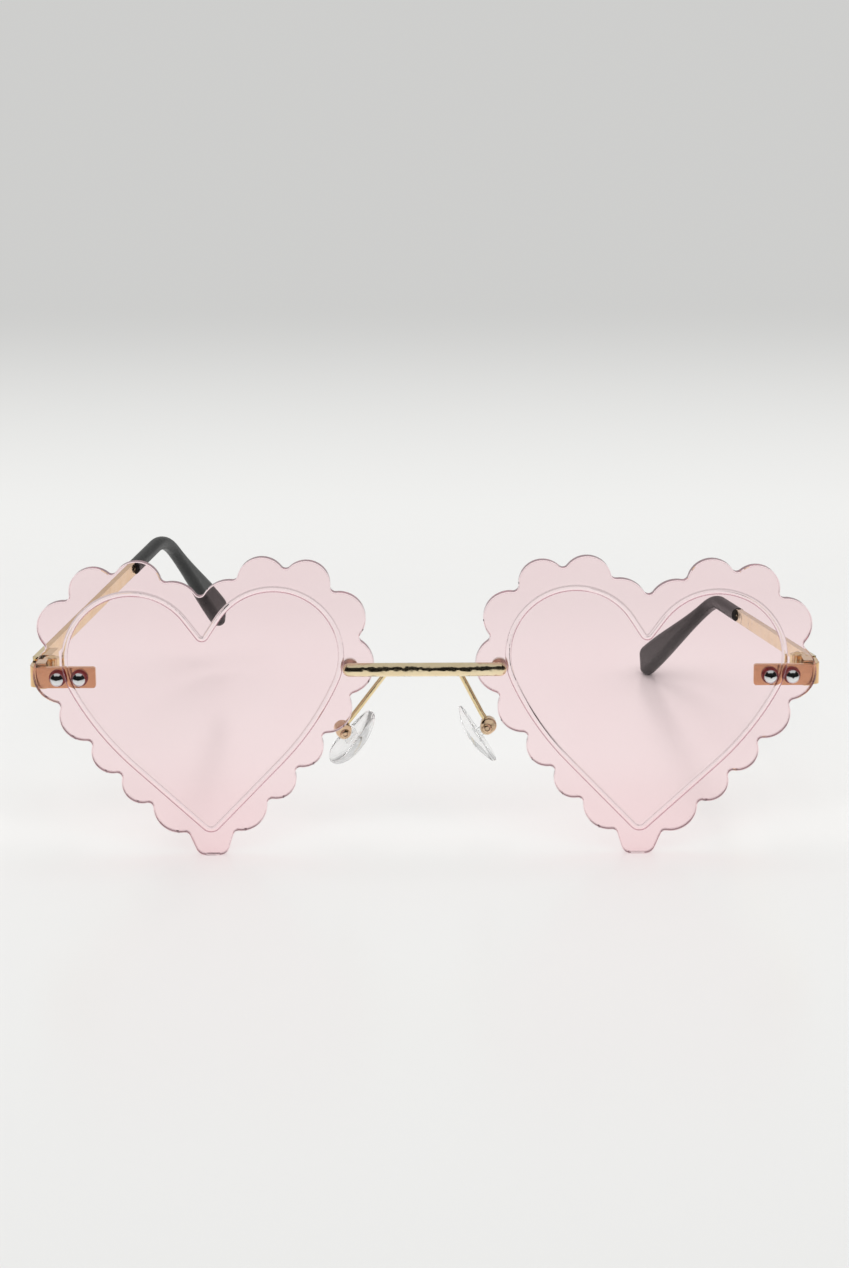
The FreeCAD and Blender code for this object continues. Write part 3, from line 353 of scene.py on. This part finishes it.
def paper(name):
    """Pale paper, a little glossy, greyer to the front in a painted shade.

    Far behind the part it is seen by its glow, at an even level that falls to grey in a painted
    shade.
    Polished faces see its front as nearly black, a painted dark reflection.
    """
    s = Shader(name)
    s.set(Specular_IOR_Level=0.5)
    back = s.part(s.place, "Y")
    # Painted shade: the colour grows greyer toward the front, with a short step up to PAPER_MAIN
    # behind the lenses.
    near = s.blend(s.spread(back, 0.0, 1.0, *TO_NEAR), PAPER_FRONT, PAPER_NEAR)
    s.drive(
        Base_Color=s.blend(s.spread(back, 0.0, 1.0, *TO_MAIN, "SMOOTHSTEP"), near, PAPER_MAIN),
        Roughness=s.spread(s.noise(30.0), 0.23, 0.25),
    )
    # Painted shade: the backdrop's glow falls from pale to grey farther back.
    fall = s.blend(s.spread(back, 0.0, 1.0, *TO_GREY, "SMOOTHSTEP"), BACKDROP_PALE, BACKDROP_GREY)
    front = s.spread(back, 1.0, 0.0, *FROM_BLACK, "SMOOTHSTEP")
    shown = s.add("ShaderNodeEmission")
    s.link(s.blend(front, fall, NEARLY_BLACK), shown.inputs["Color"])
    seen = s.rays("Is Camera Ray", "Is Glossy Ray", "Is Transmission Ray")
    aside = s.combine("ABSOLUTE", s.part(s.place, "X"))
    middle = s.combine("MULTIPLY", seen, s.spread(aside, 1.0, 0.0, *TO_SIDES, "SMOOTHSTEP"))
    behind = s.combine("MULTIPLY", middle, s.spread(back, 0.0, 1.0, *TO_BACKDROP, "SMOOTHSTEP"))
    # Painted reflection: glossy rays see the paper's front as nearly black.
    mirrored = s.combine("MULTIPLY", s.rays("Is Glossy Ray"), front)
    s.over(s.combine("MAXIMUM", behind, mirrored), shown)
    return s.material


def corners(low_u, high_u, low_v, high_v):
    return [(low_u, low_v), (high_u, low_v), (high_u, high_v), (low_u, high_v)]


def dark_card(name, points, material):
    card = sheet_of(name, points, [(0, 1, 2, 3)], material)
    card.visible_camera = False
    card.visible_diffuse = False
    card.visible_transmission = False
    card.visible_shadow = False


LAMP_TARGET = Vector((0.0, 0.0, 0.02))


def soft_lamp(name, toward, distance, size, power):
    """A round lamp that lies toward a direction from the part and shines back at it."""
    data = bpy.data.lights.new(name, "AREA")
    data.shape = "DISK"
    data.size = size
    data.energy = power
    made = bpy.data.objects.new(name, data)
    scene.collection.objects.link(made)
    aim = Vector(toward).normalized()
    made.location = LAMP_TARGET + aim * distance
    made.rotation_euler = aim.to_track_quat("Z", "Y").to_euler()
    made.visible_glossy = False
    made.visible_transmission = False


sweep("floor", half_width=4.0, front=-4.0, back=2.6, cove=0.8, height=2.4, material=paper("paper"))

CARD_SIDE, CARD_FAR, CARD_BACK, CARD_LIFT, CARD_TOP = 1.8, -1.9, 0.3, 0.001, 2.6
flag = Shader("flag")
flag.set(Base_Color=(*NEARLY_BLACK, 1.0), Roughness=0.9)
wall_corners = corners(-CARD_SIDE, CARD_SIDE, CARD_LIFT, CARD_TOP)
side_corners = corners(CARD_FAR, CARD_BACK, CARD_LIFT, CARD_TOP)
dark_card("wall_card", [(x, CARD_FAR, z) for x, z in wall_corners], flag.material)
dark_card("left_card", [(-CARD_SIDE, y, z) for y, z in side_corners], flag.material)
dark_card("right_card", [(CARD_SIDE, y, z) for y, z in side_corners], flag.material)

WORLD_GREY = (0.6, 0.6, 0.595, 1.0)
world = bpy.data.worlds.new("studio")
scene.world = world
world.use_nodes = True
world.node_tree.nodes["Background"].inputs["Color"].default_value = WORLD_GREY
soft_lamp("lamp_right", toward=(0.34, -1.05, 1.0), distance=2.4, size=1.0, power=12.8)
soft_lamp("lamp_left", toward=(-0.3, -1.3, 1.0), distance=2.4, size=1.0, power=13.6)
soft_lamp("lamp_top", toward=(0.0, 0.12, 1.0), distance=1.3, size=0.7, power=2.6)
